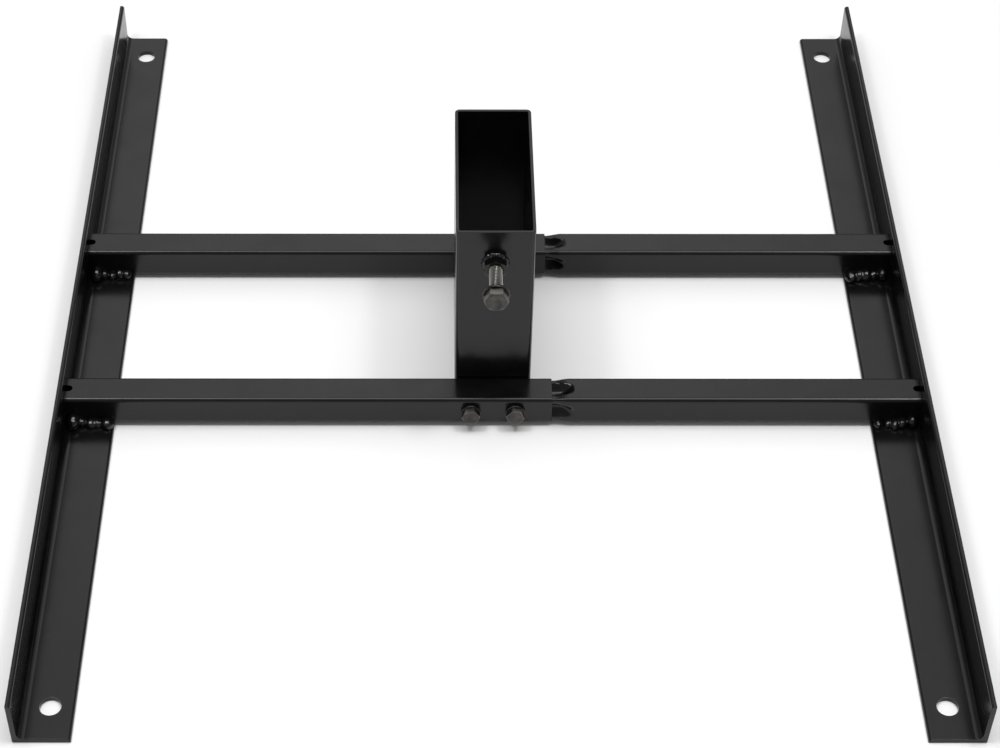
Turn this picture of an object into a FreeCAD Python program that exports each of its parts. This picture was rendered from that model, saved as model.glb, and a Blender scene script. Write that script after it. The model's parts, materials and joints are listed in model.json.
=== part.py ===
import FreeCAD, Part
import math
import os
from FreeCAD import Vector

# Knock-down steel base that holds one upright timber post.
#
# Two angle rails lie on the ground. Each carries two square tubes welded on its flange. The
# right-hand tubes are swaged down at their inner ends and plug into the left-hand tubes, so the
# base comes apart into two halves. A rectangular post socket stands between the two bars and is
# bolted to them; its right-hand bolts also pin the plugged joints. A clamp bolt in a nut welded
# to the socket's front face presses on the post.
#
# Frame: millimetres, origin on the ground at the middle of the base, +X to the right,
# +Y along the rails to the back, +Z up.

# Overall sizes
base_width = 527.0
rail_length = 624.0

# Angle rails
rail_leg = 32.0
rail_wall = 3.0
rail_root_radius = 4.0
rail_toe_radius = 2.0
stake_hole_diameter = 12.0
stake_hole_toe_inset = 13.5
stake_hole_end_inset = 22.0

# Square tubes of the two cross bars
tube_side = 20.0
tube_wall = 1.0
tube_corner_radius = 2.5
vent_notch_width = 5.0
vent_notch_depth = 4.5

# Swaged necks of the right-hand tubes
neck_clearance = 0.2          # gap to the left-hand tube's inside, on each side
neck_corner_radius = 1.5
neck_bore_radius = 0.5
neck_dent = 2.0               # how far each side of the neck is pressed in at its middle
neck_taper_length = 10.5
neck_taper_steps = 5
neck_taper_gap = 0.5          # from the left-hand tube's mouth to the start of the taper
neck_steel_past_bolt = 12.5   # from the pinning bolt's axis to the neck's end
joint_overhang = 12.75        # from the socket's side to the left-hand tube's mouth

# Post socket, for a timber post laid with its wide side along Y
post_thickness = 38.0
post_width = 89.0
post_side_play = 4.5          # total play across the post's thickness
post_end_play = 20.0          # total play along its width, with room for nuts and bolt tips
socket_wall = 2.0
socket_corner_radius = 3.0
socket_height = 138.0

# Bolts that hold the socket to the bars
bolt_diameter = 6.0
bolt_flats = 10.0
bolt_head_height = 4.0
bolt_tail = 1.2               # thread that stands past the nut
bolt_side_inset = 7.75        # from the socket's inner side wall to the bolt's axis
bolt_washer_diameter = 12.0
bolt_washer_thickness = 1.6
bolt_nut_height = 5.2

# Clamp bolt
clamp_diameter = 8.0
clamp_length = 40.0
clamp_flats = 13.0
clamp_head_height = 5.3
clamp_drop = 24.0             # from the socket's rim to the clamp bolt's axis
clamp_standoff = 28.0         # from the socket's face to the underside of the head
clamp_washer_diameter = 16.0
clamp_washer_thickness = 1.6
clamp_nut_height = 6.8
clamp_nut_roll = 30.0         # turns the nut so that one of its corners points up

# Welds
weld_leg = 6.5
weld_bulge = 1.0
nut_weld_width = 1.8          # from the nut's flats to the bead's foot
nut_weld_top_width = 0.45     # from the nut's flats to the bead's top edge
nut_weld_height = 2.2

# Fits and small details
thread_clearance = 0.05       # radial gap between a bolt's shank and its nut
washer_clearance = 0.2        # radial gap between a bolt's shank and its washer
bolt_hole_clearance = 0.3     # radial gap between a socket bolt and its holes
clamp_hole_clearance = 0.5    # radial gap between the clamp bolt and the socket's wall
bearing_gap = 0.05            # between the clamp bolt's head and its washer
chamfer_angle = 30.0          # chamfer on the corners of heads and nuts
chamfer_circle = 0.95         # chamfer circle's diameter over the width across flats
tip_chamfer = 0.8
blank_margin = 0.01           # how far a turned blank stands outside the corners of its hexagon
cut_margin = 1.0              # how far a cutting tool runs past the surface it cuts

# Sizes that follow from the ones above
socket_inner_width = post_thickness + post_side_play
socket_inner_depth = post_width + post_end_play
socket_width = socket_inner_width + 2 * socket_wall
socket_depth = socket_inner_depth + 2 * socket_wall
socket_top = rail_wall + socket_height
bar_y = (socket_depth + tube_side) / 2
bar_z = rail_wall + tube_side / 2
tube_outer_end = base_width / 2 - rail_wall
joint_x = socket_width / 2 + joint_overhang
bolt_x = socket_inner_width / 2 - bolt_side_inset
neck_end = bolt_x - neck_steel_past_bolt
neck_side = tube_side - 2 * (tube_wall + neck_clearance)
bolt_hole_radius = bolt_diameter / 2 + bolt_hole_clearance
bolt_length = bolt_washer_thickness + tube_side + socket_wall + bolt_nut_height + bolt_tail
clamp_z = socket_top - clamp_drop
clamp_hole_radius = clamp_diameter / 2 + clamp_hole_clearance

FRONT, BACK = -1, 1
LEFT, RIGHT = -1, 1
END_NAMES = {FRONT: "front", BACK: "back"}
SIDE_NAMES = {LEFT: "left", RIGHT: "right"}


def save(shape, node):
    """Write one sub-part to its own file."""
    if not shape.isValid() or shape.Volume <= 0:
        raise ValueError("bad solid: " + node)
    shape.exportStep("parts/" + node + ".step")


def closed_face(edges):
    """A face inside a closed loop of edges given in order."""
    return Part.Face(Part.Wire(edges))


def quarter_arc(start, end, centre):
    """The short arc from start to end about centre."""
    middle = (start + end) / 2 - centre
    radius = (start - centre).Length
    on_arc = centre + middle * (radius / middle.Length)
    return Part.Arc(start, on_arc, end).toShape()


def rounded_rectangle(width, depth, radius, dent=0.0):
    """A wire in the XY plane, centred on the origin, with its sides bowed inwards by dent."""
    x, y = width / 2 - radius, depth / 2 - radius
    arcs = [
        Part.makeCircle(radius, Vector(cx, cy, 0), Vector(0, 0, 1), turn, turn + 90)
        for turn, cx, cy in ((0, x, y), (90, -x, y), (180, -x, -y), (270, x, -y))
    ]
    edges = []
    for arc, following in zip(arcs, arcs[1:] + arcs[:1]):
        start, end = arc.Vertexes[-1].Point, following.Vertexes[0].Point
        middle = (start + end) / 2
        deepest = middle * (1 - dent / middle.Length)
        bowed = Part.Arc(start, deepest, end).toShape() if dent > 0 else Part.makeLine(start, end)
        edges += [arc, bowed]
    return Part.Wire(edges)


def tube_section(side, radius, x, dent=0.0):
    """A rounded square wire across the bar's direction, at one place along it."""
    wire = rounded_rectangle(side, side, radius, dent)
    wire.rotate(Vector(0, 0, 0), Vector(0, 1, 0), 90)
    wire.translate(Vector(x, 0, 0))
    return wire


def straight_run(side, radius, x_from, x_to, dent=0.0):
    """A solid square bar with rounded corners, along X."""
    face = Part.Face(tube_section(side, radius, x_from, dent))
    return face.extrude(Vector(x_to - x_from, 0, 0))


def swaged_bar(end_side, end_radius, full_side, full_radius):
    """A solid with the outline of a swaged tube, from the neck's end to the rail."""
    start = joint_x + neck_taper_gap
    sections = []
    for step in range(neck_taper_steps):
        along = step / neck_taper_steps
        grown = along * along * (3 - 2 * along)
        sections.append(
            tube_section(
                end_side + (full_side - end_side) * grown,
                end_radius + (full_radius - end_radius) * grown,
                start + neck_taper_length * along,
                neck_dent * (1 - grown),
            )
        )
    taper_end = start + neck_taper_length
    sections.append(tube_section(full_side, full_radius, taper_end))
    neck = straight_run(end_side, end_radius, neck_end, start, neck_dent)
    full = straight_run(full_side, full_radius, taper_end, tube_outer_end)
    return neck.fuse([Part.makeLoft(sections, True), full])


def along_y(x, z, radius, y_from, y_to):
    """A round cutting tool along Y."""
    return Part.makeCylinder(radius, y_to - y_from, Vector(x, y_from, z), Vector(0, 1, 0))


def turned(profile):
    """A solid turned about Z from a list of (radius, height) points."""
    points = [Vector(r, 0, z) for r, z in profile]
    edges = [Part.makeLine(a, b) for a, b in zip(points, points[1:] + points[:1])]
    return closed_face(edges).revolve(Vector(0, 0, 0), Vector(0, 0, 1), 360)


def facing(shape, x, y, z, end, roll=0.0):
    """Turn a fastener built along +Z to face the front or the back, and put it in place."""
    shape.rotate(Vector(0, 0, 0), Vector(0, 0, 1), roll)
    shape.rotate(Vector(0, 0, 0), Vector(1, 0, 0), 90)
    if end == BACK:
        shape.rotate(Vector(0, 0, 0), Vector(0, 0, 1), 180)
    shape.translate(Vector(x, y, z))
    return shape


def hexagon(flats, height):
    """A hexagonal prism on the XY plane with corners on the X axis."""
    radius = flats / math.sqrt(3)
    corners = []
    for number in range(6):
        angle = math.radians(60 * number)
        corners.append(Vector(radius * math.cos(angle), radius * math.sin(angle), 0))
    edges = [Part.makeLine(a, b) for a, b in zip(corners, corners[1:] + corners[:1])]
    return closed_face(edges).extrude(Vector(0, 0, height))


def chamfer_drop(flats):
    """How far the corner chamfer reaches down from the end face, with the corner radius."""
    corner = flats / math.sqrt(3) + blank_margin
    circle = chamfer_circle * flats / 2
    return corner, circle, (corner - circle) * math.tan(math.radians(chamfer_angle))


def hex_head(flats, height):
    """A bolt head that stands on z = 0 with its free end chamfered."""
    corner, circle, drop = chamfer_drop(flats)
    blank = turned([(0, 0), (corner, 0), (corner, height - drop), (circle, height), (0, height)])
    return hexagon(flats, height).common(blank)


def hex_nut(flats, height, bore_radius):
    """A nut that stands on z = 0, chamfered at both ends, with a plain bore."""
    corner, circle, drop = chamfer_drop(flats)
    blank = turned(
        [(0, 0), (circle, 0), (corner, drop), (corner, height - drop), (circle, height), (0, height)]
    )
    bore = Part.makeCylinder(bore_radius, height + 2 * cut_margin, Vector(0, 0, -cut_margin))
    return hexagon(flats, height).common(blank).cut(bore)


def hex_bolt(diameter, length, flats, head_height):
    """A bolt with its head's bearing face on z = 0 and its shank pointing down."""
    radius = diameter / 2
    shank = turned(
        [
            (0, 0),
            (radius, 0),
            (radius, tip_chamfer - length),
            (radius - tip_chamfer, -length),
            (0, -length),
        ]
    )
    return hex_head(flats, head_height).fuse(shank).removeSplitter()


def flat_washer(outer_diameter, bolt, thickness):
    """A washer for a bolt of the given diameter, standing on z = 0."""
    disc = Part.makeCylinder(outer_diameter / 2, thickness)
    bore_radius = bolt / 2 + washer_clearance
    bore = Part.makeCylinder(bore_radius, thickness + 2 * cut_margin, Vector(0, 0, -cut_margin))
    return disc.cut(bore)


def make_rail(side):
    """An angle with a sharp heel on the ground, its upright leg on the outside."""

    def point(inward, up):
        return Vector(side * (base_width / 2 - inward), -rail_length / 2, up)

    toe = rail_wall - rail_toe_radius
    tip = rail_leg - rail_toe_radius
    root = rail_wall + rail_root_radius
    edges = [
        Part.makeLine(point(0, 0), point(rail_leg, 0)),
        Part.makeLine(point(rail_leg, 0), point(rail_leg, toe)),
        quarter_arc(point(rail_leg, toe), point(tip, rail_wall), point(tip, toe)),
        Part.makeLine(point(tip, rail_wall), point(root, rail_wall)),
        quarter_arc(point(root, rail_wall), point(rail_wall, root), point(root, root)),
        Part.makeLine(point(rail_wall, root), point(rail_wall, tip)),
        quarter_arc(point(rail_wall, tip), point(toe, rail_leg), point(toe, tip)),
        Part.makeLine(point(toe, rail_leg), point(0, rail_leg)),
        Part.makeLine(point(0, rail_leg), point(0, 0)),
    ]
    rail = closed_face(edges).extrude(Vector(0, rail_length, 0))
    hole_x = side * (base_width / 2 - rail_leg + stake_hole_toe_inset)
    for end in (FRONT, BACK):
        hole_y = end * (rail_length / 2 - stake_hole_end_inset)
        place = Vector(hole_x, hole_y, -cut_margin)
        rail = rail.cut(
            Part.makeCylinder(stake_hole_diameter / 2, rail_wall + 2 * cut_margin, place)
        )
    return rail


def vent_notch(side):
    """The cutter for the round-ended notch in the top wall, where the tube meets the rail."""
    radius = vent_notch_width / 2
    bottom = tube_side / 2 - tube_wall - cut_margin
    height = tube_wall + 2 * cut_margin
    slot_length = vent_notch_depth - radius + cut_margin
    inner_x = tube_outer_end - vent_notch_depth + radius
    slot = Part.makeBox(slot_length, vent_notch_width, height, Vector(inner_x, -radius, bottom))
    slot = slot.fuse(Part.makeCylinder(radius, height, Vector(inner_x, 0, bottom)))
    if side == LEFT:
        slot = slot.mirror(Vector(0, 0, 0), Vector(1, 0, 0))
    return slot


def make_left_tube():
    """A plain tube from the left rail to its open mouth past the socket."""
    inner_side = tube_side - 2 * tube_wall
    outer = straight_run(tube_side, tube_corner_radius, -tube_outer_end, joint_x)
    inner = straight_run(
        inner_side, tube_corner_radius - tube_wall, -tube_outer_end - cut_margin, joint_x + cut_margin
    )
    tube = outer.cut(inner)
    for x in (-bolt_x, bolt_x):
        tube = tube.cut(along_y(x, 0, bolt_hole_radius, -tube_side, tube_side))
    return tube.cut(vent_notch(LEFT))


def make_right_tube():
    """A tube whose inner end is swaged to a neck that plugs into the left-hand tube."""
    inner_side = tube_side - 2 * tube_wall
    outer = swaged_bar(neck_side, neck_corner_radius, tube_side, tube_corner_radius)
    inner = swaged_bar(
        neck_side - 2 * tube_wall, neck_bore_radius, inner_side, tube_corner_radius - tube_wall
    )
    tube = outer.cut(inner)
    tube = tube.cut(along_y(bolt_x, 0, bolt_hole_radius, -tube_side, tube_side))
    return tube.cut(vent_notch(RIGHT))


def make_tube(side, end, rail):
    """One tube on its rail, trimmed where it meets the rail's root fillet."""
    tube = make_left_tube() if side == LEFT else make_right_tube()
    tube.translate(Vector(0, end * bar_y, bar_z))
    return tube.cut(rail)


def make_rail_weld(side, end):
    """Two fillet beads that join a tube's lower corners to the rail's flange."""
    beads = []
    x_from = side * (base_width / 2 - rail_wall - rail_root_radius)
    x_to = side * (base_width / 2 - rail_leg + rail_toe_radius)
    tube = straight_run(tube_side, tube_corner_radius, -tube_outer_end, tube_outer_end)
    tube.translate(Vector(0, end * bar_y, bar_z))
    for bead_side in (FRONT, BACK):
        face_y = end * bar_y + bead_side * tube_side / 2

        def point(out, up):
            return Vector(x_from, face_y + bead_side * out, rail_wall + up)

        foot, head = point(weld_leg, 0), point(0, weld_leg)
        crown = point(weld_leg / 2 + weld_bulge, weld_leg / 2 + weld_bulge)
        root_low = point(-tube_corner_radius, 0)
        root_high = point(-tube_corner_radius, weld_leg)
        edges = [
            Part.makeLine(root_low, foot),
            Part.Arc(foot, crown, head).toShape(),
            Part.makeLine(head, root_high),
            Part.makeLine(root_high, root_low),
        ]
        bead = closed_face(edges).extrude(Vector(x_to - x_from, 0, 0)).cut(tube)
        beads.append(max(bead.Solids, key=lambda solid: solid.Volume))
    return Part.makeCompound(beads)


def make_socket():
    """The upright rectangular tube, open at both ends."""
    outer = Part.Face(rounded_rectangle(socket_width, socket_depth, socket_corner_radius))
    inner = Part.Face(
        rounded_rectangle(
            socket_inner_width, socket_inner_depth, socket_corner_radius - socket_wall
        )
    )
    socket = outer.cut(inner).extrude(Vector(0, 0, socket_height))
    socket.translate(Vector(0, 0, rail_wall))
    reach = socket_depth / 2 + cut_margin
    for x in (-bolt_x, bolt_x):
        socket = socket.cut(along_y(x, bar_z, bolt_hole_radius, -reach, reach))
    return socket.cut(along_y(0, clamp_z, clamp_hole_radius, -reach, 0)).Solids[0]


def save_socket_fasteners(side, end):
    """One bolt with its washer outside the bar and its nut inside the socket."""
    name = END_NAMES[end] + "_" + SIDE_NAMES[side]
    bar_face = end * (bar_y + tube_side / 2)
    seat = bar_face + end * bolt_washer_thickness
    wall_face = end * socket_inner_depth / 2
    x = side * bolt_x
    bolt = hex_bolt(bolt_diameter, bolt_length, bolt_flats, bolt_head_height)
    save(facing(bolt, x, seat, bar_z, end), name + "_bolt")
    washer = flat_washer(bolt_washer_diameter, bolt_diameter, bolt_washer_thickness)
    save(facing(washer, x, bar_face, bar_z, end), name + "_washer")
    nut = hex_nut(bolt_flats, bolt_nut_height, bolt_diameter / 2 + thread_clearance)
    save(facing(nut, x, wall_face, bar_z, -end), name + "_nut")


def save_clamp():
    """The clamp bolt and its washer, and the nut with the weld that holds it on the socket."""
    face_y = FRONT * socket_depth / 2
    head_y = face_y + FRONT * clamp_standoff
    nut = hex_nut(clamp_flats, clamp_nut_height, clamp_diameter / 2 + thread_clearance)
    save(facing(nut, 0, face_y, clamp_z, FRONT, clamp_nut_roll), "clamp_nut")
    foot_radius = clamp_flats / 2 + nut_weld_width
    top_radius = clamp_flats / 2 + nut_weld_top_width
    weld = Part.makeCone(foot_radius, top_radius, nut_weld_height)
    weld = weld.cut(hexagon(clamp_flats, nut_weld_height + cut_margin)).Solids[0]
    save(facing(weld, 0, face_y, clamp_z, FRONT, clamp_nut_roll), "clamp_nut_weld")
    bolt = hex_bolt(clamp_diameter, clamp_length, clamp_flats, clamp_head_height)
    save(facing(bolt, 0, head_y, clamp_z, FRONT), "clamp_bolt")
    washer = flat_washer(clamp_washer_diameter, clamp_diameter, clamp_washer_thickness)
    washer_y = head_y - FRONT * (clamp_washer_thickness + bearing_gap)
    save(facing(washer, 0, washer_y, clamp_z, FRONT), "clamp_washer")


def build():
    """Make every sub-part and write it to parts/."""
    os.makedirs("parts", exist_ok=True)
    for side in (LEFT, RIGHT):
        rail = make_rail(side)
        save(rail, SIDE_NAMES[side] + "_rail")
        for end in (FRONT, BACK):
            name = END_NAMES[end] + "_" + SIDE_NAMES[side]
            save(make_tube(side, end, rail), name + "_tube")
            save(make_rail_weld(side, end), name + "_weld")
            save_socket_fasteners(side, end)
    save(make_socket(), "post_socket")
    save_clamp()


build()
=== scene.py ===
"""Looks of a knock-down steel base for one timber post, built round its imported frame.

Metres, in the frame of the CAD model: ground at z = 0, rails along Y, bars along X, and a post
socket in the middle. Every piece below stands for one CAD node: it has that node's size and
place, with the rounded edges, threads and weld ripples that the plain solids leave out.
"""
import json
import math
import random

import bmesh
import bpy
from mathutils import Matrix, Vector, noise


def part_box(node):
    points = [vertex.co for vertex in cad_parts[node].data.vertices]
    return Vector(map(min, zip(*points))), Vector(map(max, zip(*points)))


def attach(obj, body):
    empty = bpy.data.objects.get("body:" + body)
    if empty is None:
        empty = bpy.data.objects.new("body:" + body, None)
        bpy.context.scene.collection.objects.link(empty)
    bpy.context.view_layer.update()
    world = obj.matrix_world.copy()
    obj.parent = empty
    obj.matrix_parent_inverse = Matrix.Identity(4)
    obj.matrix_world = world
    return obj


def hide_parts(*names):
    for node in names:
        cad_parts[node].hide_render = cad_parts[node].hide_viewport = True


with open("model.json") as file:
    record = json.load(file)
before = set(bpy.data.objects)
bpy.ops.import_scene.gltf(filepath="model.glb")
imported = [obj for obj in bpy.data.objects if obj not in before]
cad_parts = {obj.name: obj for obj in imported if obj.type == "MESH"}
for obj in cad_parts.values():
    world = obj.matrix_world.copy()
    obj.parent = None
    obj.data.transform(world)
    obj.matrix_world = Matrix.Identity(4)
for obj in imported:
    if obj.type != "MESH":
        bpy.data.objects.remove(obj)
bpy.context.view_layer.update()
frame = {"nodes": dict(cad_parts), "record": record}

MM = 0.001
SIDES = {"left": -1, "right": 1}
ENDS = {"front": -1, "back": 1}
BODY_OF = {
    node: body
    for body, members in frame["record"]["behaviour"]["bodies"].items()
    for node in members
}
SLOT_OF = {
    node: material["slot"]
    for material in frame["record"]["materials"]
    for node in frame["nodes"]
    if frame["nodes"][node].data.materials[0].name.startswith(material["slot"])
}

# Sizes that a node's box doesn't give
RAIL_WALL = 3.0 * MM
RAIL_ROOT_RADIUS = 4.0 * MM
RAIL_TOE_RADIUS = 2.0 * MM
RAIL_HEEL_RADIUS = 0.8 * MM
RAIL_ARRIS_RADIUS = 0.6 * MM
STAKE_HOLE_RADIUS = 6.0 * MM
STAKE_HOLE_TOE_INSET = 13.5 * MM
STAKE_HOLE_END_INSET = 22.0 * MM
TUBE_WALL = 1.0 * MM
TUBE_CORNER_RADIUS = 2.5 * MM
VENT_WIDTH = 5.0 * MM
VENT_DEPTH = 4.5 * MM
NECK_SIDE = 17.6 * MM
NECK_CORNER_RADIUS = 1.5 * MM
FLARE_LENGTH = 10.5 * MM
DENT_DEPTH = 4.4 * MM
DENT_REACH = 5.6 * MM           # half of a dent's width
DENT_LENGTH = 14.0 * MM         # how far the dents run out past the mouth
SOCKET_WALL = 2.0 * MM
SOCKET_CORNER_RADIUS = 3.0 * MM
BOLT_HOLE_RADIUS = 3.3 * MM
CLAMP_HOLE_RADIUS = 4.5 * MM
CUTTER_OVERRUN = 10.0 * MM      # how far a cutting tool runs past what it cuts

# Roundings that the coating gives to cut edges
COAT_EDGE = 0.4 * MM
TUBE_CUT_EDGE = 0.2 * MM
SOCKET_CUT_EDGE = 0.25 * MM
EDGE_ANGLES = [math.radians(angle) for angle in (0, 30, 60, 90)]

# Fasteners: M6 through the socket, and the M8 clamp
M6_FLATS, M6_HEAD, M6_PITCH = 10.0 * MM, 4.0 * MM, 1.0 * MM
M6_RADIUS, M6_NUT_BORE = 2.95 * MM, 3.05 * MM
M6_WASHER_RADIUS, M6_WASHER_BORE = 6.0 * MM, 3.2 * MM
M8_FLATS, M8_HEAD, M8_PITCH = 13.0 * MM, 5.3 * MM, 1.25 * MM
M8_RADIUS, M8_NUT_BORE = 3.95 * MM, 4.05 * MM
M8_WASHER_RADIUS, M8_WASHER_BORE = 8.0 * MM, 4.2 * MM
ROUND_STEPS = 48                # points in a ring about a fastener's axis
CHAMFER = math.tan(math.radians(30))
CHAMFER_CIRCLE = 0.475          # radius of a head's flat top, as a share of its flats
TIP_CHAMFER = 1.3 * MM
WASHER_EDGE = 0.3 * MM
NUT_SINK = 0.5 * MM
BOLT_ROLLS = {                  # turns of a bolt's head and of its nut, in degrees
    ("left", "front"): (7, 12),
    ("right", "front"): (-11, 40),
    ("left", "back"): (22, 5),
    ("right", "back"): (3, 50),
}
CLAMP_NUT_ROLL = 30.0
WEAR_AND_SHEEN = "wear_and_sheen"                   # name of the mesh attribute that marks rubbed metal on thread crests and a painted highlight on bolt heads' outer edges
CREST_WEAR_START = 0.88         # share of the radius where a thread begins to be rubbed
# Painted highlight: how far the outer edge of a bolt head is lightened towards bright metal,
# standing in for light catching it
HEAD_EDGE_SHEEN = 0.22

# Welds
RAIL_BEAD_LUMPS = 5
NUT_BEAD_LUMPS = 20
RAIL_BEAD_OVERRUN = 1.0 * MM    # how far a rail bead runs past its node's box at the root
RAIL_BEAD_START = 2.6 * MM      # from the box's toe end to the first lump's centre
RAIL_BEAD_SHORTER = 4.4 * MM    # by how much the row of centres is shorter than the bead
RAIL_BEAD_CLIMB = 2.2 * MM      # how far the bead's last lump climbs into the root
NUT_BEAD_INSET = 1.9 * MM       # from the bead's outer edge to its lumps' centres
RAIL_BEAD_VOXEL = 0.4 * MM
NUT_BEAD_VOXEL = 0.3 * MM
RAIL_BEAD_CALM = 4              # smoothing steps
NUT_BEAD_CALM = 12
WELD_SINK = 0.25 * MM           # how far a rail bead reaches into the steel
NUT_WELD_SINK = 0.2 * MM
WELD_RIPPLE = 0.22 * MM
WELD_SHARP_ANGLE = 60.0

# Camera: lens and sensor in millimetres, shift as a share of the sensor's width, place in metres
# and turns in radians
LENS = 82.0
SENSOR = 36.0
SHIFT_X = 0.059
CAMERA_PLACE = (-0.0336, -1.0375, 1.0135)
CAMERA_PITCH = 0.789
CAMERA_YAW = -0.002
CAMERA_ROLL = 0.002


# ---------------------------------------------------------------- readings from the frame

def centre_xz(node):
    """A fastener's axis, which lies along Y."""
    low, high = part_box(node)
    return (low.x + high.x) / 2, (low.z + high.z) / 2


def face_y(node, direction):
    """The Y of a node's face that looks to the front (-1) or to the back (1)."""
    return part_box(node)[0 if direction < 0 else 1].y


def length_y(node):
    """A node's length along Y."""
    return face_y(node, 1) - face_y(node, -1)


BOLT_X = centre_xz("front_right_bolt")[0]


# ---------------------------------------------------------------- objects

def new_object(name, data):
    """An object that holds the data, in the scene."""
    item = bpy.data.objects.new(name, data)
    bpy.context.scene.collection.objects.link(item)
    return item


def evaluated_mesh(item):
    """The mesh that an object's modifiers make."""
    graph = bpy.context.evaluated_depsgraph_get()
    return bpy.data.meshes.new_from_object(item.evaluated_get(graph))


# ---------------------------------------------------------------- camera, light and floor

def make_camera():
    """A long lens that looks down at the front of the base."""
    data = bpy.data.cameras.new("camera")
    data.sensor_width = SENSOR
    data.lens = LENS
    data.shift_x = SHIFT_X
    camera = new_object("camera", data)
    turn = Matrix.Rotation(CAMERA_YAW, 4, "Z")
    turn = turn @ Matrix.Rotation(math.pi / 2 - CAMERA_PITCH, 4, "X")
    turn = turn @ Matrix.Rotation(CAMERA_ROLL, 4, "Z")
    camera.matrix_world = Matrix.Translation(CAMERA_PLACE) @ turn
    bpy.context.scene.camera = camera


def make_area_light(name, place, aim, width, depth, radiance):
    """A soft box of the given radiance, turned to the point that it lights."""
    data = bpy.data.lights.new(name, "AREA")
    data.shape = "RECTANGLE"
    data.size, data.size_y = width, depth
    data.energy = radiance * math.pi * width * depth
    light = new_object(name, data)
    light.location = place
    light.rotation_mode = "QUATERNION"
    light.rotation_quaternion = (Vector(aim) - Vector(place)).to_track_quat("-Z", "Y")
    light.visible_camera = False


def make_world(dim, broad, back):
    """A dim studio with a broad glow overhead and a small one high up behind the object."""
    world = bpy.data.worlds.new("studio")
    world.use_nodes = True
    tree = world.node_tree
    nodes, links = tree.nodes, tree.links
    place = nodes.new("ShaderNodeTexCoord")
    background = nodes["Background"]
    background.inputs["Color"].default_value = (1, 1, 1, 1)

    def lobe(direction, start, end, amount):
        dot = nodes.new("ShaderNodeVectorMath")
        dot.operation = "DOT_PRODUCT"
        dot.inputs[1].default_value = Vector(direction).normalized()
        links.new(place.outputs["Generated"], dot.inputs[0])
        ramp = nodes.new("ShaderNodeMapRange")
        ramp.interpolation_type = "SMOOTHSTEP"
        ramp.inputs["From Min"].default_value = start
        ramp.inputs["From Max"].default_value = end
        ramp.inputs["To Max"].default_value = amount
        links.new(dot.outputs["Value"], ramp.inputs["Value"])
        return ramp.outputs["Result"]

    behind = lobe(direction=(0, 0.72, 0.69), start=0.968, end=1.0, amount=back)
    overhead = lobe(direction=(0, 0.45, 0.89), start=0.7, end=0.99, amount=broad)
    glow = nodes.new("ShaderNodeMath")
    links.new(behind, glow.inputs[0])
    links.new(overhead, glow.inputs[1])
    level = nodes.new("ShaderNodeMath")
    links.new(glow.outputs["Value"], level.inputs[0])
    level.inputs[1].default_value = dim
    links.new(level.outputs["Value"], background.inputs["Strength"])
    bpy.context.scene.world = world


def make_floor(material):
    """A wide pale floor."""
    bm = bmesh.new()
    bmesh.ops.create_grid(bm, x_segments=8, y_segments=8, size=12.0)
    mesh = bpy.data.meshes.new("floor")
    bm.to_mesh(mesh)
    bm.free()
    mesh.materials.append(material)
    new_object("floor", mesh)


# ---------------------------------------------------------------- materials

def noise_texture(tree, scale, detail=2.0, stretch=(1, 1, 1)):
    """A noise pattern in the object's own space, with scale in features per metre."""
    place = tree.nodes.new("ShaderNodeTexCoord")
    mapping = tree.nodes.new("ShaderNodeMapping")
    mapping.inputs["Scale"].default_value = stretch
    pattern = tree.nodes.new("ShaderNodeTexNoise")
    pattern.inputs["Scale"].default_value = scale
    pattern.inputs["Detail"].default_value = detail
    tree.links.new(place.outputs["Object"], mapping.inputs["Vector"])
    tree.links.new(mapping.outputs["Vector"], pattern.inputs["Vector"])
    return pattern.outputs["Fac"]


def spread(tree, value, low, high, target):
    """Map a noise value's usual spread to the range from low to high."""
    ramp = tree.nodes.new("ShaderNodeMapRange")
    ramp.inputs["From Min"].default_value = 0.3
    ramp.inputs["From Max"].default_value = 0.7
    ramp.inputs["To Min"].default_value = low
    ramp.inputs["To Max"].default_value = high
    tree.links.new(value, ramp.inputs["Value"])
    tree.links.new(ramp.outputs["Result"], target)


def blend_colours(tree, value, dark, light, target):
    """Colour a surface between two tones by a noise value."""
    ramp = tree.nodes.new("ShaderNodeValToRGB")
    ramp.color_ramp.elements[0].position = 0.35
    ramp.color_ramp.elements[0].color = (*dark, 1)
    ramp.color_ramp.elements[1].position = 0.68
    ramp.color_ramp.elements[1].color = (*light, 1)
    tree.links.new(value, ramp.inputs["Fac"])
    tree.links.new(ramp.outputs["Color"], target)


def bumps(tree, layers, target):
    """Stack bump layers, each a (value, strength, height in metres)."""
    normal = None
    for value, strength, height in layers:
        bump = tree.nodes.new("ShaderNodeBump")
        bump.inputs["Strength"].default_value = strength
        bump.inputs["Distance"].default_value = height
        tree.links.new(value, bump.inputs["Height"])
        if normal is not None:
            tree.links.new(normal, bump.inputs["Normal"])
        normal = bump.outputs["Normal"]
    tree.links.new(normal, target)


def new_material(name):
    """A node material with its tree and its shader's inputs."""
    material = bpy.data.materials.new(name)
    material.use_nodes = True
    tree = material.node_tree
    return material, tree, tree.nodes["Principled BSDF"].inputs


def make_powder_coat():
    """Satin black powder coat: a faint orange peel over long, shallow waves."""
    material, tree, shader = new_material("powder_coat_black")
    shader["IOR"].default_value = 1.4
    cloud = noise_texture(tree, 90.0, 4.0)
    blend_colours(tree, cloud, (0.0028,) * 3, (0.0046, 0.0045, 0.0044), shader["Base Color"])
    spread(tree, noise_texture(tree, 30.0, 5.0), 0.17, 0.25, shader["Roughness"])
    layers = [
        (noise_texture(tree, 28.0, 1.0), 0.12, 0.4 * MM),
        (noise_texture(tree, 520.0, 1.5), 0.1, 0.12 * MM),
    ]
    bumps(tree, layers, shader["Normal"])
    return material


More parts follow.
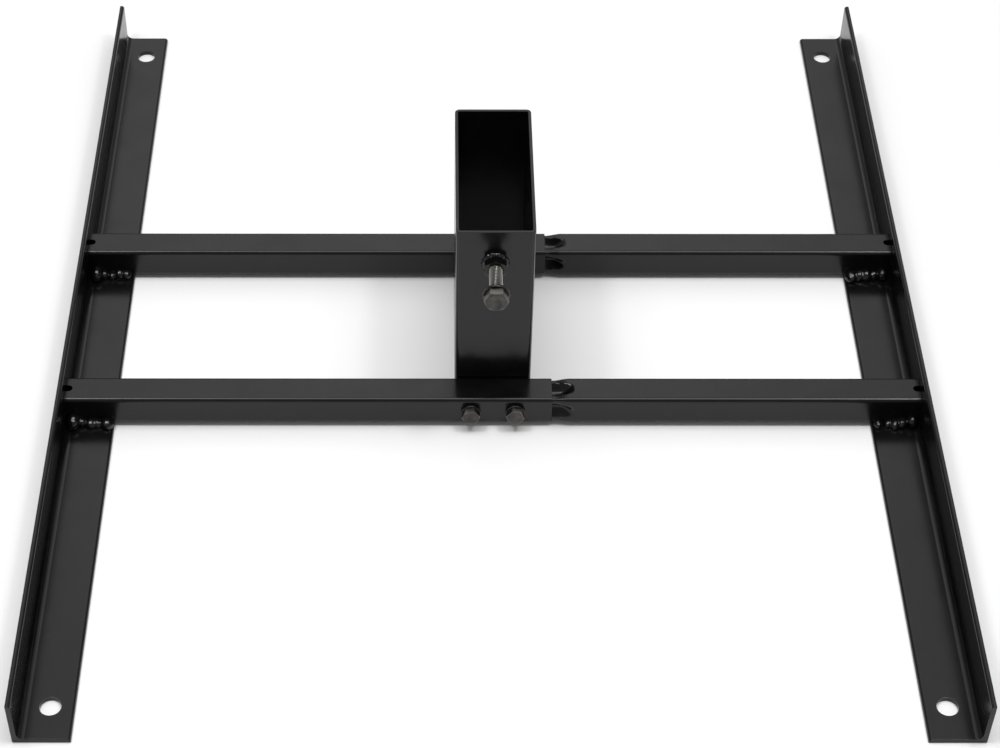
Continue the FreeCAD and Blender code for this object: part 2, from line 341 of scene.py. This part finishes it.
def make_painted_weld():
    """The same coat run thick and glossy over a weld."""
    material, tree, shader = new_material("painted_weld_black")
    shader["IOR"].default_value = 1.5
    cloud = noise_texture(tree, 160.0, 3.0)
    blend_colours(tree, cloud, (0.0026,) * 3, (0.006, 0.0058, 0.0056), shader["Base Color"])
    spread(tree, noise_texture(tree, 240.0, 2.0), 0.1, 0.18, shader["Roughness"])
    layers = [
        (noise_texture(tree, 420.0, 2.0), 0.2, 0.25 * MM),
        (noise_texture(tree, 1300.0, 2.0), 0.12, 0.08 * MM),
    ]
    bumps(tree, layers, shader["Normal"])
    return material


def make_black_zinc():
    """Dull black zinc plating, slightly brown and cloudy, rubbed bright on thread crests, and
    lightened round bolt heads' outer edges as a painted highlight.
    """
    material, tree, shader = new_material("black_zinc_dull")
    shader["Metallic"].default_value = 1.0
    rubbed_and_sheen = tree.nodes.new("ShaderNodeAttribute")
    rubbed_and_sheen.attribute_name = WEAR_AND_SHEEN
    wear_and_sheen = tree.nodes.new("ShaderNodeMix")
    wear_and_sheen.data_type = "RGBA"
    # Light metal where the attribute is set: rubbed thread crests, and a painted highlight round
    # each bolt head's outer edge
    wear_and_sheen.inputs["B"].default_value = (0.5, 0.48, 0.45, 1)
    cloud = noise_texture(tree, 260.0, 4.0)
    blend_colours(tree, cloud, (0.045, 0.043, 0.04), (0.08, 0.077, 0.073), wear_and_sheen.inputs["A"])
    tree.links.new(rubbed_and_sheen.outputs["Fac"], wear_and_sheen.inputs["Factor"])
    tree.links.new(wear_and_sheen.outputs["Result"], shader["Base Color"])
    spread(tree, noise_texture(tree, 700.0, 3.0), 0.28, 0.46, shader["Roughness"])
    layers = [
        (noise_texture(tree, 900.0, 3.0), 0.15, 0.08 * MM),
        (noise_texture(tree, 500.0, 2.0, stretch=(1, 6, 1)), 0.1, 0.06 * MM),
    ]
    bumps(tree, layers, shader["Normal"])
    return material


def make_floor_paint():
    """Pale matt floor."""
    material, tree, shader = new_material("pale_floor")
    cloud = noise_texture(tree, 0.8)
    blend_colours(tree, cloud, (0.87,) * 3, (0.9,) * 3, shader["Base Color"])
    shader["Roughness"].default_value = 0.9
    shader["Specular IOR Level"].default_value = 0.1
    return material


# ---------------------------------------------------------------- mesh tools

def arc(centre_a, centre_b, radius, start, end, steps):
    """Points on an arc, in degrees, with both ends."""
    points = []
    for step in range(steps + 1):
        angle = math.radians(start + (end - start) * step / steps)
        points.append((centre_a + radius * math.cos(angle), centre_b + radius * math.sin(angle)))
    return points


def skin(rings, looped):
    """A mesh through rings of equal length. A looped skin joins its last ring to its first."""
    bm = bmesh.new()
    rows = [[bm.verts.new(point) for point in ring] for ring in rings]
    pairs = list(zip(rows, rows[1:])) + ([(rows[-1], rows[0])] if looped else [])
    for low, high in pairs:
        for number in range(len(low)):
            after = (number + 1) % len(low)
            bm.faces.new((low[number], low[after], high[after], high[number]))
    if not looped:
        bm.faces.new(list(reversed(rows[0])))
        bm.faces.new(rows[-1])
    return close_mesh(bm)


def close_mesh(bm):
    """Weld what coincides, face everything outwards and return plain mesh data."""
    bmesh.ops.remove_doubles(bm, verts=bm.verts, dist=1e-7)
    bmesh.ops.dissolve_degenerate(bm, edges=bm.edges, dist=1e-7)
    bmesh.ops.recalc_face_normals(bm, faces=bm.faces)
    mesh = bpy.data.meshes.new("shape")
    bm.to_mesh(mesh)
    bm.free()
    return mesh


def rod(radius, start, end, steps=48):
    """A round cutting tool from start to end."""
    axis = Vector(end) - Vector(start)
    turn = Vector((0, 0, 1)).rotation_difference(axis)
    rings = []
    for place in (Vector(start), Vector(end)):
        ring = arc(0, 0, radius, 0, 360, steps)[:-1]
        rings.append([place + turn @ Vector((a, b, 0)) for a, b in ring])
    return skin(rings, looped=False)


def bolt_drill(x, front_y, back_y, z):
    """A cutting tool for a socket bolt's hole, along Y."""
    start = (x, front_y - CUTTER_OVERRUN, z)
    return rod(BOLT_HOLE_RADIUS, start, (x, back_y + CUTTER_OVERRUN, z))


def cut_and_round(mesh, cutters, edge):
    """Cut tools out of a mesh, then round the edges that the cuts left."""
    piece = new_object("blank", mesh)
    tools = []
    for cutter in cutters:
        tool = new_object("tool", cutter)
        cut = piece.modifiers.new("cut", "BOOLEAN")
        cut.operation = "DIFFERENCE"
        cut.solver = "EXACT"
        cut.object = tool
        tools.append(tool)
    rounding = piece.modifiers.new("round", "BEVEL")
    rounding.width = edge
    rounding.segments = 2
    rounding.limit_method = "ANGLE"
    rounding.angle_limit = math.radians(50)
    result = evaluated_mesh(piece)
    for old in [piece] + tools:
        bpy.data.objects.remove(old)
    return result


def add_piece(node, mesh, sharp_angle=40.0):
    """Show a mesh in place of one CAD node, with its finish, on its body."""
    piece = new_object(node + "_shape", mesh)
    for polygon in mesh.polygons:
        polygon.use_smooth = True
    mesh.set_sharp_from_angle(angle=math.radians(sharp_angle))
    even = piece.modifiers.new("even_shading", "WEIGHTED_NORMAL")
    even.keep_sharp = True
    mesh.materials.clear()
    mesh.materials.append(MATERIALS[SLOT_OF[node]])
    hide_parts(node)
    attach(piece, BODY_OF[node])


# ---------------------------------------------------------------- rails

def rail_outline(leg, smaller):
    """The angle's section, offset inwards, as (inward, up) points with the heel at the origin."""
    toe, root = RAIL_WALL - RAIL_TOE_RADIUS, RAIL_WALL + RAIL_ROOT_RADIUS
    tip, heel, arris = leg - RAIL_TOE_RADIUS, RAIL_HEEL_RADIUS, RAIL_ARRIS_RADIUS
    outline = arc(heel, heel, heel - smaller, 180, 270, 4)
    outline += arc(leg - arris, arris, arris - smaller, 270, 360, 3)
    outline += arc(tip, toe, RAIL_TOE_RADIUS - smaller, 0, 90, 8)
    outline += arc(root, root, RAIL_ROOT_RADIUS + smaller, 270, 180, 12)
    outline += arc(toe, tip, RAIL_TOE_RADIUS - smaller, 0, 90, 8)
    outline += arc(arris, leg - arris, arris - smaller, 90, 180, 3)
    return outline


def make_rail(side_name):
    """One angle rail with its two stake holes."""
    side, node = SIDES[side_name], side_name + "_rail"
    low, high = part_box(node)
    outer, leg = max(abs(low.x), abs(high.x)), high.z - low.z
    rings = []
    for y, inward_y, angles in ((low.y, 1, EDGE_ANGLES), (high.y, -1, EDGE_ANGLES[::-1])):
        for angle in angles:
            section = rail_outline(leg, COAT_EDGE * (1 - math.sin(angle)))
            station = y + inward_y * COAT_EDGE * (1 - math.cos(angle))
            rings.append([Vector((side * (outer - a), station, b)) for a, b in section])
    hole_x = side * (outer - leg + STAKE_HOLE_TOE_INSET)
    cutters = []
    for y in (low.y + STAKE_HOLE_END_INSET, high.y - STAKE_HOLE_END_INSET):
        start, end = (hole_x, y, -CUTTER_OVERRUN), (hole_x, y, CUTTER_OVERRUN)
        cutters.append(rod(STAKE_HOLE_RADIUS, start, end, steps=64))
    add_piece(node, cut_and_round(skin(rings, looped=False), cutters, COAT_EDGE))


# ---------------------------------------------------------------- square tubes

def square_section(side, radius, dent_depth, dent_reach, flat_steps):
    """A rounded square as (across, up) points, with a dent at the middle of each side."""
    half, flat = side / 2, side / 2 - radius
    points = []
    for quarter in range(4):
        turn = Matrix.Rotation(math.radians(90 * quarter), 2)
        corner = [Vector(p) for p in arc(flat, flat, radius, 0, 90, 6)]
        run = []
        for step in range(1, flat_steps):
            across = flat - 2 * flat * step / flat_steps
            share = min(1.0, abs(across) / dent_reach) if dent_reach > 0 else 1.0
            run.append(Vector((across, half - dent_depth * (1 - share ** 1.8))))
        points += [turn @ p for p in corner + run]
    return [tuple(p) for p in points]


def tube_mesh(stations, wall, place):
    """A hollow tube through (along, side, radius, dent depth, dent reach) stations."""
    flat_steps = 18 if any(station[3] > 0 for station in stations) else 1

    def ring(station, thinner):
        along, side, radius, depth, reach = station
        inner_radius = max(0.3 * MM, radius - thinner)
        section = square_section(side - 2 * thinner, inner_radius, depth, reach, flat_steps)
        return [place(along, a, b) for a, b in section]

    outer = [ring(station, 0.0) for station in stations]
    inner = [ring(station, wall) for station in stations]
    return skin(outer + list(reversed(inner)), looped=True)


def rounded_ends(stations, wall):
    """Add the small roundings that the coat leaves on the two cut ends of a tube."""
    edge = wall * 0.3
    first, last = stations[0], stations[-1]

    def end(station, inward):
        along, side, radius, depth, reach = station
        return [
            (along, side - 2 * edge, radius - edge, depth, reach),
            (along + inward * edge * 0.3, side - 0.6 * edge, radius - 0.3 * edge, depth, reach),
            (along + inward * edge, side, radius, depth, reach),
        ]

    return end(first, 1) + stations[1:-1] + list(reversed(end(last, -1)))


def make_tube(side_name, end_name):
    """One half of a cross bar: plain on the left, swaged to a neck on the right."""
    side, node = SIDES[side_name], f"{end_name}_{side_name}_tube"
    low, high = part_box(node)
    bar_side, middle_y = round((high.y - low.y) / MM) * MM, (low.y + high.y) / 2
    middle_z = low.z + (high.z - low.z) / 2
    rail_end = low.x if side < 0 else high.x
    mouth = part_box(f"{end_name}_left_tube")[1].x

    def place(along, across, up):
        return Vector((along, middle_y + across, middle_z + up))

    if side < 0:
        stations = [(x, bar_side, TUBE_CORNER_RADIUS, 0.0, 0.0) for x in (low.x, high.x)]
    else:
        stations = neck_stations(low.x, mouth, bar_side)
        stations.append((rail_end, bar_side, TUBE_CORNER_RADIUS, 0.0, 0.0))
    mesh = tube_mesh(rounded_ends(stations, TUBE_WALL), TUBE_WALL, place)
    cutters = [vent_cutter(rail_end, side, middle_y, high.z)]
    for x in (-BOLT_X, BOLT_X):
        if low.x < x - BOLT_HOLE_RADIUS:
            cutters.append(bolt_drill(x, low.y, high.y, middle_z))
    add_piece(node, cut_and_round(mesh, cutters, TUBE_CUT_EDGE))


def neck_stations(neck_end, mouth, bar_side):
    """Stations of a swaged neck, its flare and the pressed dents that run out past it."""
    flare_start, dent_end = mouth + 0.5 * MM, mouth + DENT_LENGTH
    stations = [(neck_end, NECK_SIDE, NECK_CORNER_RADIUS, DENT_DEPTH, DENT_REACH)]
    count = 26
    for step in range(count + 1):
        along = flare_start + (dent_end - flare_start) * step / count
        grown = min(1.0, (along - flare_start) / FLARE_LENGTH)
        grown = grown * grown * (3 - 2 * grown)
        left = max(0.0, (dent_end - along) / (dent_end - flare_start))
        side = NECK_SIDE + (bar_side - NECK_SIDE) * grown
        radius = NECK_CORNER_RADIUS + (TUBE_CORNER_RADIUS - NECK_CORNER_RADIUS) * grown
        depth = DENT_DEPTH * math.sin(min(1.0, left * 1.6) * math.pi / 2) ** 1.5
        reach = DENT_REACH * (0.45 + 0.55 * math.sqrt(left))
        stations.append((along, side, radius, max(depth, 1e-6), reach))
    return stations


def vent_cutter(rail_end, side, middle_y, top_z):
    """A round-ended slot through the top wall, open towards the rail."""
    radius = VENT_WIDTH / 2
    inner = rail_end - side * (VENT_DEPTH - radius)
    outline = []
    for a, b in arc(0, 0, radius, 90, 270, 12):
        outline.append((inner + side * a, middle_y + b))
    outline.append((rail_end + side * MM, middle_y - radius))
    outline.append((rail_end + side * MM, middle_y + radius))
    levels = (top_z - 2 * TUBE_WALL, top_z + 2 * TUBE_WALL)
    return skin([[Vector((x, y, z)) for x, y in outline] for z in levels], looped=False)


# ---------------------------------------------------------------- post socket

def rectangle_section(width, depth, radius):
    """A rounded rectangle as (x, y) points."""
    x, y = width / 2 - radius, depth / 2 - radius
    points = []
    for turn, cx, cy in ((0, x, y), (90, -x, y), (180, -x, -y), (270, x, -y)):
        points += arc(cx, cy, radius, turn, turn + 90, 8)
    return points


def socket_rings(low, high):
    """Rings up the outside of the socket, over its rim and down the inside."""
    width, depth = high.x - low.x, high.y - low.y
    inner_radius = SOCKET_CORNER_RADIUS - SOCKET_WALL

    def ring(z, smaller, radius):
        section = rectangle_section(width - 2 * smaller, depth - 2 * smaller, radius)
        return [Vector((a, b, z)) for a, b in section]

    def rim(z, inward, inside):
        rings = []
        for angle in EDGE_ANGLES:
            level = z + inward * COAT_EDGE * (1 - math.cos(angle))
            step = COAT_EDGE * (1 - math.sin(angle))
            if inside:
                rings.append(ring(level, SOCKET_WALL - step, inner_radius + step))
            else:
                rings.append(ring(level, step, SOCKET_CORNER_RADIUS - step))
        return rings

    outside = rim(low.z, 1, inside=False) + rim(high.z, -1, inside=False)[::-1]
    return outside + rim(high.z, -1, inside=True) + rim(low.z, 1, inside=True)[::-1]


def make_socket():
    """The upright rectangular tube that takes the post."""
    low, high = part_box("post_socket")
    bar_low, bar_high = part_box("front_left_tube")
    bar_z = (bar_low.z + bar_high.z) / 2
    clamp_x, clamp_z = centre_xz("clamp_bolt")
    cutters = [bolt_drill(x, low.y, high.y, bar_z) for x in (-BOLT_X, BOLT_X)]
    clamp_start = (clamp_x, low.y - CUTTER_OVERRUN, clamp_z)
    cutters.append(rod(CLAMP_HOLE_RADIUS, clamp_start, (clamp_x, 0, clamp_z)))
    blank = skin(socket_rings(low, high), looped=True)
    add_piece("post_socket", cut_and_round(blank, cutters, SOCKET_CUT_EDGE))


# ---------------------------------------------------------------- bolts, nuts and washers

def hexagon_radius(angle, flats):
    """Distance from a hexagon's axis to its side, with its corners slightly rounded."""
    within = (angle % 60.0) - 30.0
    return min(flats / 2 / math.cos(math.radians(within)), 0.985 * flats / math.sqrt(3))


def polar_ring(radius_at, height_at):
    """A ring of points about Z from radius and height functions of the angle in degrees."""
    ring = []
    for step in range(ROUND_STEPS):
        angle = 360.0 * step / ROUND_STEPS
        radius = radius_at(angle)
        turn = math.radians(angle)
        ring.append(Vector((radius * math.cos(turn), radius * math.sin(turn), height_at(angle))))
    return ring


def even_ring(radius, height):
    """A plain circle of points about Z."""
    return polar_ring(lambda angle: radius, lambda angle: height)


def hexagon_ring(flats, smaller, height):
    """A level ring round a hexagon, drawn in from its sides."""
    return polar_ring(lambda angle: hexagon_radius(angle, flats) - smaller, lambda angle: height)


def chamfered_end(flats, height, outward):
    """Rings of a hexagon's end, from its sides in to the chamfer circle."""
    circle = CHAMFER_CIRCLE * flats

    def radius_at(angle):
        return hexagon_radius(angle, flats)

    def level(angle):
        return height - outward * (radius_at(angle) - circle) * CHAMFER

    return [polar_ring(radius_at, level), even_ring(circle, height)]


def thread_rings(radius, pitch, length, plain):
    """Rings down a right-hand thread, from a plain neck under the head to a chamfered tip."""
    depth, per_turn = 0.6 * pitch, 8
    rings = [even_ring(radius, 0.0), even_ring(radius, -plain)]
    count = int((length - plain) / pitch * per_turn)
    for step in range(1, count + 1):
        down = plain + (length - plain) * step / count
        ramp = min(1.0, (down - plain) / pitch)
        tip = radius - TIP_CHAMFER + (length - down)

        def radius_at(angle, down=down, ramp=ramp, tip=tip):
            phase = abs((-down / pitch - angle / 360.0) % 1.0 - 0.5) * 2
            groove = min(1.0, max(0.0, (0.9 - phase) / 0.7))
            return min(radius - ramp * depth * groove, tip)

        rings.append(polar_ring(radius_at, lambda angle, down=down: -down))
    return rings


def mark_wear_and_sheen(mesh, flats, head, radius, pitch):
    """Mark the thread's crests as rubbed, and the head's outer edge for a painted highlight."""
    wear_and_sheen = mesh.attributes.new(WEAR_AND_SHEEN, "FLOAT", "POINT")
    for vertex in mesh.vertices:
        x, y, z = vertex.co
        reach = math.hypot(x, y)
        if z < -1.4 * pitch:
            share = (reach / radius - CREST_WEAR_START) / (1.0 - CREST_WEAR_START)
            wear_and_sheen.data[vertex.index].value = min(1.0, max(0.0, share))
        # Painted highlight: the head's outer edge is lightened as if light caught it
        elif z > 0.5 * head and reach > 0.48 * flats:
            wear_and_sheen.data[vertex.index].value = HEAD_EDGE_SHEEN


def bolt_mesh(flats, head, radius, pitch, length):
    """A hexagon bolt along -Z, with the underside of its head at z = 0."""
    # The top of the head is a shallow dish
    rings = [even_ring(0.1 * flats, head - 0.35 * MM), even_ring(0.3 * flats, head - 0.3 * MM)]
    rings += [even_ring(0.36 * flats, head - 0.02 * MM), even_ring(0.38 * flats, head)]
    rings += list(reversed(chamfered_end(flats, head, 1)))
    rings.append(hexagon_ring(flats, 0.0, 0.15 * MM))
    rings.append(hexagon_ring(flats, 0.15 * MM, 0.0))
    rings += thread_rings(radius, pitch, length, plain=1.5 * pitch)
    mesh = skin(rings, looped=False)
    mark_wear_and_sheen(mesh, flats, head, radius, pitch)
    return mesh


def nut_mesh(flats, height, bore):
    """A hexagon nut from z = 0 up, with countersunk ends to its bore."""
    outside = list(reversed(chamfered_end(flats, 0.0, -1))) + chamfered_end(flats, height, 1)
    inside = [even_ring(bore + NUT_SINK, height), even_ring(bore, height - NUT_SINK)]
    inside += [even_ring(bore, NUT_SINK), even_ring(bore + NUT_SINK, 0.0)]
    return skin(outside + inside, looped=True)


def washer_mesh(outer, bore, thickness):
    """A flat washer from z = 0 up, with rolled edges."""
    edge = WASHER_EDGE
    rolled = [(0, outer - edge), (0.3 * edge, outer - 0.3 * edge), (edge, outer)]
    rings = [even_ring(radius, height) for height, radius in rolled]
    rings += [even_ring(radius, thickness - height) for height, radius in rolled[::-1]]
    rings += [even_ring(bore + 0.2 * edge, thickness), even_ring(bore, thickness - 0.2 * edge)]
    rings += [even_ring(bore, 0.2 * edge), even_ring(bore + 0.2 * edge, 0)]
    return skin(rings, looped=True)


def put(mesh, x, y, z, direction, roll=0.0):
    """Turn a fastener from +Z to face the front (-1) or the back (1), and move it there."""
    turn = Matrix.Rotation(math.pi / 2, 4, "X") @ Matrix.Rotation(math.radians(roll), 4, "Z")
    if direction > 0:
        turn = Matrix.Rotation(math.pi, 4, "Z") @ turn
    mesh.transform(Matrix.Translation((x, y, z)) @ turn)
    return mesh


def make_socket_fasteners(side_name, end_name):
    """One bolt, its washer outside the bar and its nut inside the socket."""
    name, end = f"{end_name}_{side_name}", ENDS[end_name]
    bolt_roll, nut_roll = BOLT_ROLLS[side_name, end_name]
    bolt, washer, nut = name + "_bolt", name + "_washer", name + "_nut"
    x, z = centre_xz(bolt)
    shape = bolt_mesh(M6_FLATS, M6_HEAD, M6_RADIUS, M6_PITCH, length_y(bolt) - M6_HEAD)
    add_piece(bolt, put(shape, x, face_y(bolt, end) - end * M6_HEAD, z, end, bolt_roll))
    shape = washer_mesh(M6_WASHER_RADIUS, M6_WASHER_BORE, length_y(washer))
    add_piece(washer, put(shape, x, face_y(washer, -end), z, end))
    shape = nut_mesh(M6_FLATS, length_y(nut), M6_NUT_BORE)
    add_piece(nut, put(shape, x, face_y(nut, end), z, -end, nut_roll))


def make_clamp():
    """The clamp bolt with its loose washer, and the nut welded on the socket."""
    x, z = centre_xz("clamp_bolt")
    length = length_y("clamp_bolt") - M8_HEAD
    shape = bolt_mesh(M8_FLATS, M8_HEAD, M8_RADIUS, M8_PITCH, length)
    add_piece("clamp_bolt", put(shape, x, face_y("clamp_bolt", -1) + M8_HEAD, z, -1))
    shape = washer_mesh(M8_WASHER_RADIUS, M8_WASHER_BORE, length_y("clamp_washer"))
    add_piece("clamp_washer", put(shape, x, face_y("clamp_washer", 1), z, -1))
    shape = nut_mesh(M8_FLATS, length_y("clamp_nut"), M8_NUT_BORE)
    add_piece("clamp_nut", put(shape, x, face_y("clamp_nut", 1), z, -1, CLAMP_NUT_ROLL))


# ---------------------------------------------------------------- welds

def melted_lumps(lumps, voxel, calm_steps):
    """One smooth mesh from (centre, radii) lumps that overlap."""
    bm = bmesh.new()
    for centre, radii in lumps:
        shape = Matrix.Translation(centre) @ Matrix.Diagonal((*radii, 1.0))
        bmesh.ops.create_icosphere(bm, subdivisions=3, radius=1.0, matrix=shape)
    raw = bpy.data.meshes.new("lumps")
    bm.to_mesh(raw)
    bm.free()
    holder = new_object("lumps", raw)
    melt = holder.modifiers.new("melt", "REMESH")
    melt.mode = "VOXEL"
    melt.voxel_size = voxel
    calm = holder.modifiers.new("calm", "SMOOTH")
    calm.factor, calm.iterations = 0.6, calm_steps
    mesh = evaluated_mesh(holder)
    bpy.data.objects.remove(holder)
    return mesh


def lumps_to_bead(lumps, planes, voxel, calm_steps):
    """Melt round lumps into one rippled bead, and trim it to the planes that it is laid on."""
    bm = bmesh.new()
    bm.from_mesh(melted_lumps(lumps, voxel, calm_steps))
    for vertex in bm.verts:
        ripple = noise.noise(vertex.co * 420.0) * WELD_RIPPLE
        vertex.co += vertex.normal * ripple
    for point, normal in planes:
        parts = bm.verts[:] + bm.edges[:] + bm.faces[:]
        bmesh.ops.bisect_plane(bm, geom=parts, plane_co=point, plane_no=normal, clear_inner=True)
        open_edges = [edge for edge in bm.edges if edge.is_boundary]
        bmesh.ops.holes_fill(bm, edges=open_edges)
    return close_mesh(bm)


def join_meshes(meshes):
    """One mesh from several."""
    bm = bmesh.new()
    for mesh in meshes:
        bm.from_mesh(mesh)
    joined = bpy.data.meshes.new("joined")
    bm.to_mesh(joined)
    bm.free()
    return joined


def rail_bead_lump(draw, share, toe, root):
    """One lump of a rail bead: along X, away from the tube, above the rail, and its radii."""
    wander = draw.uniform(-0.6, 0.6) * MM
    along = toe + RAIL_BEAD_START + (root - toe - RAIL_BEAD_SHORTER) * share + wander
    climb = RAIL_BEAD_CLIMB * max(0.0, share - 0.6) / 0.4
    away = draw.uniform(0.5, 1.6) * MM
    above = draw.uniform(0.5, 1.4) * MM
    size = draw.choice((0.8, 0.95, 1.0, 1.3))
    reach = draw.uniform(4.4, 5.6) * MM
    crown = draw.uniform(3.4, 4.2) * MM
    return along, away, above + climb, (3.3 * MM * size, reach * size, crown * size)


def make_rail_weld(side_name, end_name):
    """The two lumpy beads that join a tube's lower corners to its rail."""
    side, node = SIDES[side_name], f"{end_name}_{side_name}_weld"
    low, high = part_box(node)
    tube_low, tube_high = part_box(f"{end_name}_{side_name}_tube")
    toe = min(abs(low.x), abs(high.x))
    root = max(abs(low.x), abs(high.x)) + RAIL_BEAD_OVERRUN
    draw = random.Random(f"{node} beads")
    beads = []
    for out, face in ((-1, tube_low.y), (1, tube_high.y)):
        lumps = []
        for number in range(RAIL_BEAD_LUMPS):
            share = number / (RAIL_BEAD_LUMPS - 1)
            along, away, above, radii = rail_bead_lump(draw, share, toe, root)
            lumps.append((Vector((side * along, face + out * away, low.z + above)), radii))
        planes = [
            (Vector((0, face - out * WELD_SINK, 0)), Vector((0, out, 0))),
            (Vector((0, 0, low.z - WELD_SINK)), Vector((0, 0, 1))),
        ]
        beads.append(lumps_to_bead(lumps, planes, RAIL_BEAD_VOXEL, RAIL_BEAD_CALM))
    add_piece(node, join_meshes(beads), WELD_SHARP_ANGLE)


def make_nut_weld():
    """The bead round the clamp nut."""
    node = "clamp_nut_weld"
    low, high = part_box(node)
    x, z = centre_xz(node)
    radius = (high.x - low.x) / 2 - NUT_BEAD_INSET
    draw = random.Random(node)
    lumps = []
    for number in range(NUT_BEAD_LUMPS):
        angle = 2 * math.pi * (number + draw.uniform(-0.15, 0.15)) / NUT_BEAD_LUMPS
        centre = Vector((x + radius * math.cos(angle), high.y, z + radius * math.sin(angle)))
        size = draw.uniform(2.0, 2.3) * MM
        lumps.append((centre, (size, draw.uniform(1.7, 2.1) * MM, size)))
    planes = [(Vector((0, high.y + NUT_WELD_SINK, 0)), Vector((0, -1, 0)))]
    bead = lumps_to_bead(lumps, planes, NUT_BEAD_VOXEL, NUT_BEAD_CALM)
    add_piece(node, bead, WELD_SHARP_ANGLE)


# ---------------------------------------------------------------- the scene

make_camera()
make_world(dim=0.33, broad=0.73, back=0.57)
make_area_light(
    "overhead_box", place=(0, -0.15, 2.3), aim=(0, -0.15, 0), width=2.8, depth=1.1, radiance=3.2
)
make_area_light(
    "left_lamp", place=(-0.7, -0.3, 2.0), aim=(0, 0, 0), width=0.2, depth=0.2, radiance=48.0
)
make_area_light(
    "right_lamp", place=(0.7, -0.2, 2.0), aim=(0, 0, 0), width=0.2, depth=0.2, radiance=44.0
)
MATERIALS = {
    "powder_coat": make_powder_coat(),
    "painted_weld": make_painted_weld(),
    "black_zinc": make_black_zinc(),
}
make_floor(make_floor_paint())
bpy.context.scene.view_settings.view_transform = "Standard"

for side_name in SIDES:
    make_rail(side_name)
    for end_name in ENDS:
        make_tube(side_name, end_name)
        make_rail_weld(side_name, end_name)
        make_socket_fasteners(side_name, end_name)
make_socket()
make_clamp()
make_nut_weld()
